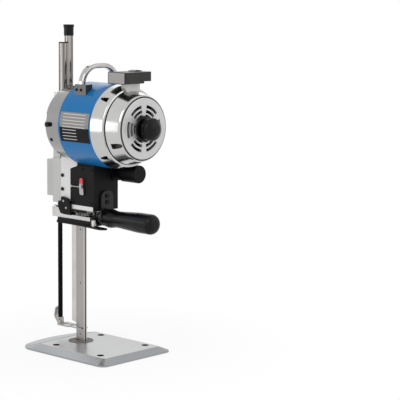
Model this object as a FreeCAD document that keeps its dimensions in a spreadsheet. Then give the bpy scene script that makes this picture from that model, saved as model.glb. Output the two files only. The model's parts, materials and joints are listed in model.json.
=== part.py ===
import FreeCAD, Part
import Sketcher
import math
import os

# Straight knife cloth cutting machine with a built-in belt sharpener, millimetres.
# +Z up, +X to the rear (hand grip), -X the cutting direction, origin under the standard on the floor.

doc = FreeCAD.newDocument("cloth_cutter")
sheet = doc.addObject("Spreadsheet::Sheet", "Sizes")
nodes = {}


class Size:
    # A sheet cell, or a sum made of cells: the text for an expression and its value now.
    def __init__(self, text, value):
        self.text = text
        self.value = value

    def __add__(self, other):
        other = to_size(other)
        return Size("(%s + %s)" % (self.text, other.text), self.value + other.value)

    def __sub__(self, other):
        other = to_size(other)
        return Size("(%s - %s)" % (self.text, other.text), self.value - other.value)

    def __mul__(self, other):
        other = to_size(other)
        return Size("(%s * %s)" % (self.text, other.text), self.value * other.value)

    def __radd__(self, other):
        return to_size(other) + self

    def __rsub__(self, other):
        return to_size(other) - self

    def __rmul__(self, other):
        return to_size(other) * self

    def __neg__(self):
        return Size("(0 - %s)" % self.text, -self.value)


def to_size(v):
    return v if isinstance(v, Size) else Size("%.6g" % v, float(v))


def val(v):
    return v.value if isinstance(v, Size) else float(v)


def size(name, value, note):
    row = size.row = getattr(size, "row", 0) + 1
    sheet.set("A%d" % row, note)
    sheet.set("B%d" % row, str(value))
    sheet.setAlias("B%d" % row, name)
    return Size("Sizes.%s" % name, float(value))


# Fits
run_fit = size("run_fit", 0.05, "radial clearance of a shaft in its bearing")
slide_fit = size("slide_fit", 0.35, "clearance of a sliding piece")

# Base plate
base_front = size("base_front", -94, "front corner point of the base outline")
base_shoulder = size("base_shoulder", -74, "front end of the straight base sides")
base_rear = size("base_rear", 146, "rear edge of the base")
base_half = size("base_half", 87, "half width of the base")
base_lip = size("base_lip", 3, "height of the upright base edge")
base_top = size("base_top", 11, "height of the flat base top")
flat_front = size("flat_front", -39, "front end of the flat base top")
flat_rear = size("flat_rear", 131, "rear end of the flat base top")
flat_half = size("flat_half", 69, "half width of the flat base top")
base_corner = size("base_corner", 14, "rear corner radius of the base")
base_nose = size("base_nose", 36, "front corner radius of the base")
foot_x = size("foot_x", -3, "centre of the round foot of the standard")
foot_r = size("foot_r", 23, "radius of the round foot")
foot_floor = size("foot_floor", 5, "height of the seat under the foot")
foot_top = size("foot_top", 11.6, "height of the foot top")
screw_front_x = size("screw_front_x", -8.5, "front row of base screws")
screw_rear_x = size("screw_rear_x", 107.7, "rear row of base screws")
screw_y = size("screw_y", 56, "half spacing of the base screws across")
base_screw_r = size("base_screw_r", 6.4, "head radius of a base screw")

# Base rollers
roller_r = size("roller_r", 4.2, "radius of a base roller")
roller_z = size("roller_z", 4.5, "height of the roller axis")
roller_half = size("roller_half", 8, "half length of a roller")
roller_pin_r = size("roller_pin_r", 1.5, "radius of a roller pin")
roller_shift = size("roller_shift", 16, "roller axis behind its base screw")

# Standard and knife
std_front = size("std_front", -13.2, "front face of the standard")
std_rear = size("std_rear", 9, "rear face of the standard")
std_half = size("std_half", 4.5, "half thickness of the standard")
std_nose = size("std_nose", 2, "half thickness of the standard nose")
std_taper = size("std_taper", -2, "rear end of the nose taper")
std_top = size("std_top", 268, "top end of the standard")
knife_front = size("knife_front", -26.5, "cutting edge of the knife")
knife_rear = size("knife_rear", -9, "back of the knife in its groove")
knife_half = size("knife_half", 0.5, "half thickness of the knife")
knife_tip = size("knife_tip", 42.6, "lower end of the knife at the top of the stroke")
knife_shoulder = size("knife_shoulder", 290, "height of the knife shoulder")
tang_front = size("tang_front", -20, "front of the knife tang")
tang_rear = size("tang_rear", -14, "back of the knife tang")

# Head casting
motor_z = size("motor_z", 413.5, "height of the motor axis")
seam_x = size("seam_x", -22.5, "front face of the head casting")
head_half = size("head_half", 30, "half width of the head")
head_low = size("head_low", 260.5, "underside of the head")
head_floor = size("head_floor", 268, "top of the lower bar of the head")
column_rear = size("column_rear", 2, "rear face of the column")
head_rear = size("head_rear", 63, "rear end of the head")
case_front_r = size("case_front_r", 66, "front radius of the crank case")
case_rear_r = size("case_rear_r", 72, "rear radius of the crank case")
case_rear = size("case_rear", 19, "rear face of the crank case")
case_bore = size("case_bore", 60, "inner radius of the crank case")
case_wall_x = size("case_wall_x", 8.5, "front face of the crank case rear wall")
guide_half = size("guide_half", 17, "half width of the crosshead channel")
guide_rear = size("guide_rear", -2.3, "rear wall of the crosshead channel")
gib_thick = size("gib_thick", 3, "thickness of a guide gib")
gib_low = size("gib_low", 272, "lower end of the guide gibs")
gib_high = size("gib_high", 338, "upper end of the guide gibs")

# Front rail, cover and tubes
rail_front = size("rail_front", -45, "front face of the front rail")
rail_low = size("rail_low", 268, "underside of the front rail")
rail_step = size("rail_step", 349, "top of the wide part of the front rail")
rail_top = size("rail_top", 460, "top of the front rail")
rail_neck = size("rail_neck", 22, "half width of the upper rail")
cover_front = size("cover_front", -69, "front face of the front cover")
cover_half = size("cover_half", 25, "half width of the front cover")
cover_low = size("cover_low", 278, "underside of the front cover")
cover_high = size("cover_high", 344, "top of the front cover")
cover_wall = size("cover_wall", 2, "wall of the front cover")
crank_cover_r = size("crank_cover_r", 64, "radius of the crank case cover")
crank_cover_front = size("crank_cover_front", -26.5, "front face of the crank case cover")
lift_x = size("lift_x", -36, "lift rod, front to back")
lift_y = size("lift_y", 2, "lift rod, across")
lift_r = size("lift_r", 4, "radius of the lift rod")
drive_x = size("drive_x", -31, "belt drive shaft, front to back")
drive_y = size("drive_y", -15.5, "belt drive shaft, across")
drive_r = size("drive_r", 3.5, "radius of the belt drive shaft")
tube_base_top = size("tube_base_top", 468, "top of the tube flange")
tall_r = size("tall_r", 7.9, "radius of the tall tube")
tall_top = size("tall_top", 573, "top of the tall tube")
short_r = size("short_r", 8.75, "radius of the short tube")
short_top = size("short_top", 556, "top of the short tube")
tube_wall = size("tube_wall", 1.4, "wall of the tubes")
cap_top = size("cap_top", 589, "top of the tube cap")

# Motor
shell_r = size("shell_r", 75, "radius of the motor shell")
shell_rear = size("shell_rear", 101, "rear end of the motor shell")
shell_wall = size("shell_wall", 4, "wall of the motor shell")
stator_r = size("stator_r", 46, "bore of the stator")
air_gap = size("air_gap", 0.6, "gap between rotor and stator")
core_front = size("core_front", 32, "front face of the iron core")
core_rear = size("core_rear", 88, "rear face of the iron core")
shaft_r = size("shaft_r", 8, "radius of the motor shaft")
bearing_r = size("bearing_r", 17.5, "outer radius of the bearings")
bell_step = size("bell_step", 127.6, "rear end of the large bell ring")
bell_end = size("bell_end", 158.3, "rear end of the small bell ring")
bell_r2 = size("bell_r2", 65.3, "front radius of the small bell ring")
bell_r3 = size("bell_r3", 56.8, "rear radius of the small bell ring")
grille_r = size("grille_r", 53, "radius of the rear grille")
grille_front = size("grille_front", 153, "front face of the rear grille")
knob_r = size("knob_r", 20, "radius of the hand knob")
knob_end = size("knob_end", 189, "rear end of the hand knob")

# Crank and crosshead
crank_throw = size("crank_throw", 18.5, "crank radius, half of the knife stroke")
rod_length = size("rod_length", 100, "connecting rod between centres")
rod_front = size("rod_front", -16, "front face of the connecting rod")
rod_rear = size("rod_rear", -8, "rear face of the connecting rod")
crank_front = size("crank_front", -3, "front face of the crank disc")
crank_rear = size("crank_rear", 5, "rear face of the crank disc")
crank_r = size("crank_r", 30, "radius of the crank disc")
crank_pin_r = size("crank_pin_r", 6, "radius of the crank pin")
wrist_r = size("wrist_r", 3.5, "radius of the wrist pin")

# Presser foot
bar_x = size("bar_x", -58.5, "presser bar, front to back")
bar_half = size("bar_half", 3, "half thickness of the presser bar")
bar_top = size("bar_top", 330, "top of the presser bar")
bar_low = size("bar_low", 38, "lower end of the presser bar")
shoe_low = size("shoe_low", 34, "underside of the presser foot")
shoe_thick = size("shoe_thick", 2.4, "thickness of the presser foot")
shoe_half = size("shoe_half", 12.5, "half width of the presser foot")
fork_half = size("fork_half", 5.6, "half gap of the presser foot fork")

# Sharpener
block_low = size("block_low", 241, "underside of the sharpener block")
block_top = size("block_top", 259, "top of the sharpener block")
tray_low = size("tray_low", 231, "underside of the sharpener tray")
tray_top = size("tray_top", 234, "top of the sharpener tray")
belt_low = size("belt_low", 235.3, "lower edge of the abrasive belts")
belt_high = size("belt_high", 240.2, "upper edge of the abrasive belts")
belt_thick = size("belt_thick", 0.8, "thickness of the abrasive belts")
nose_x = size("nose_x", -24, "nose pulleys, front to back")
nose_y = size("nose_y", 5.2, "nose pulleys, across")
nose_r = size("nose_r", 3.5, "radius of the nose pulleys")
outer_r = size("outer_r", 6, "radius of the outer pulleys")
gear_x = size("gear_x", 26, "belt gears, front to back")
gear_pitch = size("gear_pitch", 16, "pitch radius of the belt gears")
rear_r = size("rear_r", 5, "radius of the rear pulleys")
post_r = size("post_r", 2, "radius of the pulley posts")
gear_low = size("gear_low", 249.5, "underside of the belt gears")
gear_high = size("gear_high", 254.5, "top of the belt gears")

# Hand grip, lever, terminal box and carrying handle
grip_z = size("grip_z", 247, "height of the hand grip axis")
grip_front = size("grip_front", 67, "front end of the hand grip")
grip_end = size("grip_end", 188, "rear end of the hand grip")
grip_thin = size("grip_thin", 14.5, "thin radius of the hand grip")
grip_thick = size("grip_thick", 18, "thick radius of the hand grip")
stud_r = size("stud_r", 5, "radius of the grip stud")
lever_x = size("lever_x", 33.5, "lever pivot, front to back")
lever_z = size("lever_z", 303, "lever pivot height")
plate_thick = size("plate_thick", 3.2, "thickness of the side covers")
box_front = size("box_front", 104, "front side of the terminal box")
box_rear = size("box_rear", 145, "rear side of the terminal box")
box_half = size("box_half", 32.4, "half length of the terminal box")
box_low = size("box_low", 491, "underside of the terminal box")
box_top = size("box_top", 511, "top of the terminal box")
switch_x = size("switch_x", 119, "switch, front to back")
switch_y = size("switch_y", 17, "switch, across")
carry_x = size("carry_x", 46, "carrying handle, front to back")
carry_half = size("carry_half", 47, "half span of the carrying handle")
carry_low = size("carry_low", 479, "lower ends of the carrying handle")
carry_top = size("carry_top", 523, "top of the carrying handle")
carry_thick = size("carry_thick", 9, "thickness of the carrying handle")
carry_wide = size("carry_wide", 13, "width of the carrying handle")
can_y = size("can_y", 31, "capacitor axis, across")
can_z = size("can_z", 327, "capacitor axis height")
can_r = size("can_r", 16, "radius of the capacitor")
can_end = size("can_end", 118, "rear end of the capacitor")


def bind(obj, prop, v):
    v = to_size(v)
    if "Sizes." in v.text:
        obj.setExpression(prop, v.text)
    elif prop.startswith("Placement.Base."):
        base = obj.Placement.Base
        setattr(base, prop[-1], v.value)
        obj.Placement = FreeCAD.Placement(base, obj.Placement.Rotation)
    else:
        setattr(obj, prop, v.value)


def put(obj, x, y, z):
    bind(obj, "Placement.Base.x", x)
    bind(obj, "Placement.Base.y", y)
    bind(obj, "Placement.Base.z", z)
    return obj


def node(obj, label):
    # A label that comes again joins the pieces of one sub-part.
    nodes.setdefault(label, []).append(obj)
    return obj


def box(name, x0, x1, y0, y1, z0, z1):
    b = doc.addObject("Part::Box", name)
    bind(b, "Length", x1 - x0)
    bind(b, "Width", y1 - y0)
    bind(b, "Height", z1 - z0)
    return put(b, x0, y0, z0)


def rod(name, axis, r, x, y, z, length):
    c = doc.addObject("Part::Cylinder", name)
    bind(c, "Radius", r)
    bind(c, "Height", length)
    way = {"X": FreeCAD.Vector(1, 0, 0), "Y": FreeCAD.Vector(0, 1, 0), "Z": FreeCAD.Vector(0, 0, 1)}[axis]
    c.Placement = FreeCAD.Placement(FreeCAD.Vector(), FreeCAD.Rotation(FreeCAD.Vector(0, 0, 1), way))
    return put(c, x, y, z)


def fuse(name, shapes):
    f = doc.addObject("Part::MultiFuse", name)
    f.Shapes = shapes
    return f


def cut(name, base, tools):
    c = doc.addObject("Part::Cut", name)
    c.Base = base
    c.Tool = tools[0] if len(tools) == 1 else fuse(name + "_tools", tools)
    return c


def group(name, shapes):
    g = doc.addObject("Part::Compound", name)
    g.Links = shapes
    return g


def rounded(name, base, r, pick):
    doc.recompute()
    f = doc.addObject("Part::Fillet", name)
    f.Base = base
    f.Edges = [(i + 1, val(r), val(r)) for i, e in enumerate(base.Shape.Edges) if pick(e)]
    return f


def fix(sketch, geo, pos, x, y):
    for way, v in (("DistanceX", x), ("DistanceY", y)):
        v = to_size(v)
        i = sketch.addConstraint(Sketcher.Constraint(way, -1, 1, geo, pos, v.value))
        if "Sizes." in v.text:
            sketch.setExpression("Constraints[%d]" % i, v.text)


def fix_radius(sketch, geo, r):
    i = sketch.addConstraint(Sketcher.Constraint("Radius", geo, val(r)))
    if isinstance(r, Size):
        sketch.setExpression("Constraints[%d]" % i, r.text)


def outline(sketch, points):
    # Closed outline through corner points; a third value in a point rounds that corner.
    n = len(points)
    flat = [(val(p[0]), val(p[1]), val(p[2]) if len(p) > 2 else 0.0) for p in points]
    corner = [FreeCAD.Vector(p[0], p[1], 0) for p in flat]
    enter, leave, centre = [], [], []
    for i in range(n):
        back = (corner[i - 1] - corner[i]).normalize()
        ahead = (corner[(i + 1) % n] - corner[i]).normalize()
        r = flat[i][2]
        if r > 0:
            half = math.acos(max(-1.0, min(1.0, back.dot(ahead)))) / 2
            reach = r / math.tan(half)
            enter.append(corner[i] + back * reach)
            leave.append(corner[i] + ahead * reach)
            middle = back + ahead
            centre.append(corner[i] + middle.normalize() * (r / math.sin(half)))
        else:
            enter.append(corner[i])
            leave.append(corner[i])
            centre.append(None)
    lines = []
    for i in range(n):
        lines.append(sketch.addGeometry(Part.LineSegment(leave[i], enter[(i + 1) % n])))
    for i in range(n):
        before, after = lines[i - 1], lines[i]
        if centre[i] is None:
            sketch.addConstraint(Sketcher.Constraint("Coincident", before, 2, after, 1))
            fix(sketch, after, 1, points[i][0], points[i][1])
            continue
        a0 = math.atan2(enter[i].y - centre[i].y, enter[i].x - centre[i].x)
        a1 = math.atan2(leave[i].y - centre[i].y, leave[i].x - centre[i].x)
        left = ((a1 - a0) % (2 * math.pi)) < math.pi
        ring = Part.Circle(centre[i], FreeCAD.Vector(0, 0, 1), flat[i][2])
        arc = sketch.addGeometry(Part.ArcOfCircle(ring, a0 if left else a1, a1 if left else a0))
        sketch.addConstraint(Sketcher.Constraint("Tangent", before, 2, arc, 1 if left else 2))
        sketch.addConstraint(Sketcher.Constraint("Tangent", arc, 2 if left else 1, after, 1))
        fix_radius(sketch, arc, points[i][2])
        mark = sketch.addGeometry(Part.Point(corner[i]), True)
        fix(sketch, mark, 1, points[i][0], points[i][1])
        sketch.addConstraint(Sketcher.Constraint("PointOnObject", mark, 1, before))
        sketch.addConstraint(Sketcher.Constraint("PointOnObject", mark, 1, after))


def circle(sketch, x, y, r):
    geo = sketch.addGeometry(Part.Circle(FreeCAD.Vector(val(x), val(y), 0), FreeCAD.Vector(0, 0, 1), val(r)))
    fix(sketch, geo, 3, x, y)
    fix_radius(sketch, geo, r)


def sketch_on(body, plane, start, points, holes=()):
    sketch = body.newObject("Sketcher::SketchObject", body.Name + "_sketch")
    for feature in body.Origin.OriginFeatures:
        if feature.Role == plane + "_Plane":
            sketch.AttachmentSupport = [(feature, "")]
    sketch.MapMode = "FlatFace"
    start = to_size(start)
    if "Sizes." in start.text:
        sketch.setExpression("AttachmentOffset.Base.z", start.text)
    else:
        sketch.AttachmentOffset = FreeCAD.Placement(FreeCAD.Vector(0, 0, start.value), FreeCAD.Rotation())
    if points:
        outline(sketch, points)
    for hole in holes:
        circle(sketch, *hole)
    return sketch


def plate(name, plane, points, start, thick, holes=()):
    # Flat piece: XY plates grow up, YZ plates grow to the rear, XZ plates grow towards -Y.
    body = doc.addObject("PartDesign::Body", name)
    sketch = sketch_on(body, plane, start, points, holes)
    pad = body.newObject("PartDesign::Pad", name + "_pad")
    pad.Profile = sketch
    bind(pad, "Length", thick)
    body.Tip = pad
    sketch.Visibility = False
    return body


def turned(name, points, y, z):
    # Turned piece about an axis along X; points are (x, radius).
    body = doc.addObject("PartDesign::Body", name)
    sketch = sketch_on(body, "XZ", 0, points)
    spin = body.newObject("PartDesign::Revolution", name + "_turn")
    spin.Profile = sketch
    spin.ReferenceAxis = (sketch, ["H_Axis"])
    spin.Angle = 360
    body.Tip = spin
    return put(body, 0, y, z)


def ring_points(x0, x1, r0, r1):
    return [(x0, r0), (x1, r0), (x1, r1), (x0, r1)]


def screws(name, axis, spots, head_r, head, shank_r, shank):
    # Set of screws; each spot is the seat of a head, a negative head or shank grows the other way.
    pieces = []
    for i, (x, y, z) in enumerate(spots):
        h = screw_bit("%s_head_%d" % (name, i), axis, head_r, (x, y, z), head)
        s = screw_bit("%s_shank_%d" % (name, i), axis, shank_r, (x, y, z), shank)
        pieces.append(fuse("%s_%d" % (name, i), [h, s]))
    return group(name, pieces)


def screw_bit(name, axis, r, spot, length):
    spot = [to_size(v) for v in spot]
    if val(length) < 0:
        k = "XYZ".index(axis)
        spot[k] = spot[k] + length
    return rod(name, axis, r, spot[0], spot[1], spot[2], abs(val(length)))


def holes(name, axis, spots, r, length):
    return [screw_bit("%s_%d" % (name, i), axis, r, spot, length) for i, spot in enumerate(spots)]


# Base plate with its round foot
lower_outline = [(base_front, 0, 200), (base_shoulder, -base_half, base_nose),
                 (base_rear, -base_half, base_corner), (base_rear, base_half, base_corner),
                 (base_shoulder, base_half, base_nose)]
upper_outline = [(flat_front - 4, 0, 260), (flat_front, -flat_half, 6), (flat_rear, -flat_half, 6),
                 (flat_rear, flat_half, 6), (flat_front, flat_half, 6)]
slab = plate("base_slab", "XY", lower_outline, 0, base_lip)
low_sketch = sketch_on(slab, "XY", base_lip, lower_outline)
high_sketch = sketch_on(slab, "XY", base_top, upper_outline)
loft = slab.newObject("PartDesign::AdditiveLoft", "base_bevels")
loft.Profile = low_sketch
loft.Sections = [high_sketch]
loft.Ruled = True
slab.Tip = loft
roller_spots = [(screw_front_x + roller_shift, -screw_y), (screw_front_x + roller_shift, screw_y),
                (screw_rear_x - roller_shift, -screw_y), (screw_rear_x - roller_shift, screw_y)]
base_tools = [rod("foot_seat", "Z", foot_r, foot_x, 0, foot_floor, 10),
              box("base_knife_way", knife_front - 0.8, std_front + 1, -knife_half - 0.7, knife_half + 0.7, foot_floor, 20)]
pins = []
for i, (x, y) in enumerate(roller_spots):
    base_tools.append(box("roller_pocket_%d" % i, x - roller_r - 1, x + roller_r + 1,
                          y - roller_half - 0.4, y + roller_half + 0.4, -1, roller_z + roller_r + 0.4))
    reach = roller_half + 6
    base_tools.append(rod("pin_hole_%d" % i, "Y", roller_pin_r, x, y - reach, roller_z, reach * 2))
    pins.append(rod("roller_pin_%d" % i, "Y", roller_pin_r, x, y - reach, roller_z, reach * 2))
base_screw_spots = [(x, y, base_top - 2) for x in (screw_front_x, screw_rear_x) for y in (-screw_y, screw_y)]
base_tools += holes("base_screw_seat", "Z", base_screw_spots, base_screw_r, 4)
base_tools += holes("base_screw_hole", "Z", base_screw_spots, 2.5, -5)
node(cut("base_plate_cut", slab, base_tools), "base_plate")
node(screws("base_screw_set", "Z", base_screw_spots, base_screw_r, 2.1, 2.5, -5), "base_fixings")
node(group("roller_pin_set", pins), "base_fixings")
roller_names = ["roller_front_left", "roller_front_right", "roller_rear_left", "roller_rear_right"]
for label, (x, y) in zip(roller_names, roller_spots):
    tyre = rod(label + "_tyre", "Y", roller_r, x, y - roller_half, roller_z, roller_half * 2)
    bore = rod(label + "_bore", "Y", roller_pin_r + run_fit, x, y - roller_half - 1, roller_z, roller_half * 2 + 2)
    node(cut(label + "_cut", tyre, [bore]), label)

foot_tools = [box("foot_std_slot", std_front, std_rear, -std_half, std_half, 0, 20),
              box("foot_knife_slot", knife_front - 0.6, std_front + 1, -knife_half - 0.7, knife_half + 0.7, 0, 20)]
foot_disc = rod("foot_disc", "Z", foot_r, foot_x, 0, foot_floor, foot_top - foot_floor)
node(cut("foot_cut", foot_disc, foot_tools), "standard_foot")

# Standard with the knife groove in its nose
groove = knife_half + slide_fit
std_points = [(std_front, -std_nose), (std_taper, -std_half), (std_rear, -std_half, 1), (std_rear, -1.4), (std_rear - 2, -1.4),
              (std_rear - 2, 1.2), (std_rear, 1.2), (std_rear, std_half, 1),
              (std_taper, std_half), (std_front, std_nose), (std_front, groove), (knife_rear + 0.6, groove),
              (knife_rear + 0.6, -groove), (std_front, -groove)]
node(plate("standard_bar", "XY", std_points, foot_floor, std_top - foot_floor), "standard")

# Head casting: column, lower bar, crank case
case = turned("case_form", [(seam_x, 0), (case_rear, 0), (case_rear, case_rear_r), (seam_x, case_front_r)], 0, motor_z)
column = box("column", seam_x, column_rear, -head_half, head_half, head_low, motor_z - 40)
lower_bar = box("lower_bar", seam_x, head_rear - 2, -head_half, head_half, head_low, head_floor)
floor_block = box("column_floor", tang_rear + 0.5, column_rear, -guide_half, guide_half, head_low, gib_low)
gusset_points = [(column_rear - 1, 332.4), (case_rear, 339), (case_rear, 358), (column_rear - 1, 358)]
gussets = [plate("gusset_left", "XZ", gusset_points, head_half - plate_thick, plate_thick),
           plate("gusset_right", "XZ", gusset_points, -head_half, plate_thick)]
bearing_front = case_rear - 9
head_tools = [turned("case_hollow", [(seam_x - 1, 0), (case_wall_x, 0), (case_wall_x, case_bore),
                                     (seam_x - 1, case_bore)], 0, motor_z),
              box("guide_channel", seam_x - 1, guide_rear, -guide_half, guide_half, gib_low, gib_high),
              box("rod_channel", seam_x - 1, guide_rear, -20, 20, gib_high, motor_z - 30),
              box("knife_channel", seam_x - 1, tang_rear + 0.5, -8.6, 8.6, head_low - 1, gib_low + 1),
              box("standard_seat", std_front, std_rear, -std_half, std_half, head_low - 1, std_top),
              rod("bearing_seat", "X", bearing_r, bearing_front, 0, motor_z, 20),
              rod("shaft_pass", "X", shaft_r + 2, 0, 0, motor_z, 30),
              rod("oiler_hole", "Y", 3, seam_x + 8, -90, motor_z, 40),
              rod("case_tube_way", "Z", short_r + slide_fit, drive_x, drive_y, tube_base_top - 1, 60)]
column_spots = [(seam_x + 4.5, head_half * side, z) for side in (-1, 1) for z in (294, 319)]
left_spots = column_spots[:2]
right_spots = column_spots[2:]
head_tools += holes("column_hole_left", "Y", left_spots, 2, 8)
head_tools += holes("column_hole_right", "Y", right_spots, 2, -8)
cover_screw_spots = []
for k in range(6):
    turn = math.radians(60 * k)
    cover_screw_spots.append((crank_cover_front, 61.9 * math.cos(turn), motor_z + 61.9 * math.sin(turn)))
head_tools += holes("case_hole", "X", cover_screw_spots, 1.4, 12)
head_form = fuse("head_form", [case, column, lower_bar, floor_block] + gussets)
node(cut("head_cut", head_form, head_tools), "head_frame")
node(group("column_screw_set", [screws("column_left", "Y", left_spots, 3.2, -2, 2, 8),
                                screws("column_right", "Y", right_spots, 3.2, 2, 2, -8)]), "head_fixings")
for side, label in ((-1, "guide_gib_left"), (1, "guide_gib_right")):
    edge = guide_half * side
    inner = edge - gib_thick * side
    y0, y1 = (edge, inner) if side < 0 else (inner, edge)
    node(box(label + "_strip", seam_x + 0.5, guide_rear, y0, y1, gib_low, gib_high), "guide_gibs")

# Crank case cover with its screws, oil cup
cover_disc = rod("crank_cover_disc", "X", crank_cover_r, crank_cover_front, 0, motor_z, seam_x - crank_cover_front)
tube_way = rod("cover_tube_way", "Z", short_r + slide_fit, drive_x, drive_y, tube_base_top - 1, 60)
node(cut("crank_cover_cut", cover_disc, holes("cover_hole", "X", cover_screw_spots, 1.4, 12) + [tube_way]), "crank_cover")
node(screws("crank_cover_screw_set", "X", cover_screw_spots, 2.1, -1.8, 1.4, 12), "head_fixings")
oil_x = seam_x + 8
oil_shank = rod("oil_shank", "Y", 3, oil_x, -68, motor_z, 12)
oil_head = rod("oil_head", "Y", 4.5, oil_x, -72.5, motor_z, 4.5)
node(fuse("oil_cup_form", [oil_shank, oil_head]), "head_fixings")

# Front rail that guides the two sharpener rods
rail_wide = box("rail_wide", rail_front, seam_x, -head_half, head_half, rail_low, rail_step)
rail_high = box("rail_high", rail_front, crank_cover_front, -rail_neck, rail_neck, rail_step, rail_top)
lift_hole = rod("lift_hole", "Z", lift_r + slide_fit, lift_x, lift_y, rail_low - 5, 400)
drive_hole = rod("drive_hole", "Z", drive_r + slide_fit, drive_x, drive_y, rail_low - 5, 400)
knife_way = box("knife_way", knife_front - 1, seam_x + 1, -2, 2, rail_low - 5, knife_shoulder + 6)
rail_mid = box("rail_mid", rail_front, crank_cover_front, -head_half + 1.6, head_half - 1.6, rail_step - 1, rail_step + 23)
rail_form = fuse("rail_form", [rail_wide, rail_mid, rail_high])
node(cut("rail_cut", rail_form, [lift_hole, drive_hole, knife_way]), "front_rail")

# Flange and tubes that hide the raised rods
flange_points = [(rail_front - 4, -26, 6), (crank_cover_front, -26, 6), (crank_cover_front, 16, 6), (rail_front - 4, 16, 6)]
flange_holes = [(lift_x, lift_y, lift_r + slide_fit), (drive_x, drive_y, drive_r + slide_fit)]
node(plate("flange_form", "XY", flange_points, rail_top, tube_base_top - rail_top, flange_holes), "guide_tubes")
for label, x, y, r, top in (("tall_tube", lift_x, lift_y, tall_r, tall_top),
                            ("short_tube", drive_x, drive_y, short_r, short_top)):
    skin = rod(label + "_skin", "Z", r, x, y, tube_base_top, top - tube_base_top)
    core = rod(label + "_core", "Z", r - tube_wall, x, y, tube_base_top - 1, 200)
    node(cut(label + "_cut", skin, [core]), "guide_tubes")
cap_skirt = rod("cap_skirt", "Z", tall_r + 1, lift_x, lift_y, tall_top - 4, cap_top - tall_top + 1)
cap_brim = rod("cap_brim", "Z", tall_r + 1.8, lift_x, lift_y, cap_top - 5, 5)
cap_bore = rod("cap_bore", "Z", tall_r, lift_x, lift_y, tall_top - 5, 5)
node(cut("cap_cut", fuse("cap_form", [cap_skirt, cap_brim]), [cap_bore]), "tube_caps")
plug = rod("short_plug_pin", "Z", short_r - tube_wall, drive_x, drive_y, short_top - 4, 4)
plug_top = rod("short_plug_top", "Z", short_r, drive_x, drive_y, short_top, 2)
node(fuse("short_plug_form", [plug, plug_top]), "tube_caps")

# Front cover and the guide of the presser bar inside it
cover_points = [(cover_front, -cover_half, 5), (rail_front, -cover_half), (rail_front, cover_half),
                (cover_front, cover_half, 5)]
shell_form = plate("front_cover_form", "XY", cover_points, cover_low, cover_high - cover_low)
cover_hollow = box("front_cover_hollow", cover_front + cover_wall, rail_front + 1, cover_wall - cover_half,
                   cover_half - cover_wall, cover_low + cover_wall, cover_high - cover_wall)
gap = bar_half + slide_fit
bar_way = box("bar_way", bar_x - gap, bar_x + gap, -gap, gap, 200, 400)
node(cut("front_cover_cut", shell_form, [cover_hollow, bar_way]), "front_cover")
guide_block = box("bar_guide_block", cover_front + cover_wall, rail_front, -9, 9, cover_low + 10, cover_high - 12)
guide_way = box("bar_guide_way", bar_x - gap, bar_x + gap, -gap, gap, 200, 400)
node(cut("bar_guide_cut", guide_block, [guide_way]), "front_rail")

# Drive housing under the motor with its side covers
housing_half = head_half - plate_thick
housing_form = box("housing_form", column_rear, head_rear, -housing_half, housing_half, head_floor, motor_z - 60)
housing_tools = [box("housing_hollow", column_rear + 3, head_rear - 3, -40, 40, head_floor + 3, motor_z - 80),
                 rod("shell_bed", "X", shell_r, column_rear - 5, 0, motor_z, 150)]
skirt = box("housing_skirt", head_rear - 2, head_rear, -head_half, head_half, head_low, head_floor)
node(cut("housing_cut", fuse("housing_all", [housing_form, skirt]), housing_tools), "drive_housing")
side_points = [(column_rear, head_floor), (head_rear, head_floor), (head_rear, 340), (25, 340), (column_rear, 331)]
pivot_hole = (lever_x, lever_z, 2)
stud_hole = (8, 302, 1.5)
node(plate("side_left_form", "XZ", side_points, housing_half, plate_thick, [pivot_hole, stud_hole]), "side_covers")
node(plate("side_right_form", "XZ", side_points, -head_half, plate_thick), "side_covers")

# Sharpening lever with its wire link
lever_y = -head_half - 0.4
lever_points = [(lever_x - 4, 289, 3.5), (lever_x + 7, 287, 3.5), (lever_x + 4, 308, 2), (lever_x - 4.5, 309, 2)]
node(plate("lever_form", "XZ", lever_points, -lever_y, 3, [(lever_x, lever_z, 2 + run_fit)]), "sharpening_lever")
tip_points = [(lever_x - 4.5, 309.0), (lever_x + 4, 308.0), (lever_x + 3.5, 318, 2), (lever_x - 3.5, 318, 2)]
node(plate("lever_tip_form", "XZ", tip_points, -lever_y, 3), "lever_tip")
pivot_pin = rod("pivot_pin", "Y", 2, lever_x, -head_half - 3.8, lever_z, plate_thick + 3.8)
pivot_head = rod("pivot_head", "Y", 3.6, lever_x, -head_half - 5.6, lever_z, 1.8)
node(fuse("lever_pivot_form", [pivot_pin, pivot_head]), "lever_fittings")
ball = doc.addObject("Part::Sphere", "link_ball")
ball.Radius = 2.6
put(ball, 8, -head_half - 3, 302)
ball_post = rod("link_post", "Y", 1.5, 8, -head_half - 3, 302, plate_thick + 3)
link = rod("link_wire", "X", 0.9, 8, -head_half - 3, 302, lever_x - 14.5)
node(fuse("lever_link_form", [ball, ball_post, link]), "lever_fittings")

# Motor shell, iron core, windings
node(turned("shell_form", ring_points(case_rear, shell_rear, shell_r - shell_wall, shell_r), 0, motor_z), "motor_shell")
core_r = shell_r - shell_wall
node(turned("stator_form", ring_points(core_front, core_rear, stator_r, core_r), 0, motor_z), "stator_core")
coil = [("winding_front", core_front - 10, core_front), ("winding_rear", core_rear, core_rear + 10)]
for label, x0, x1 in coil:
    points = [(x0, stator_r + 3, 3), (x1, stator_r + 3), (x1, core_r - 6), (x0, core_r - 6, 3)]
    node(turned(label + "_form", points, 0, motor_z), "stator_windings")
node(turned("rotor_form", ring_points(core_front, core_rear, shaft_r, stator_r - air_gap), 0, motor_z), "rotor_core")

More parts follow.
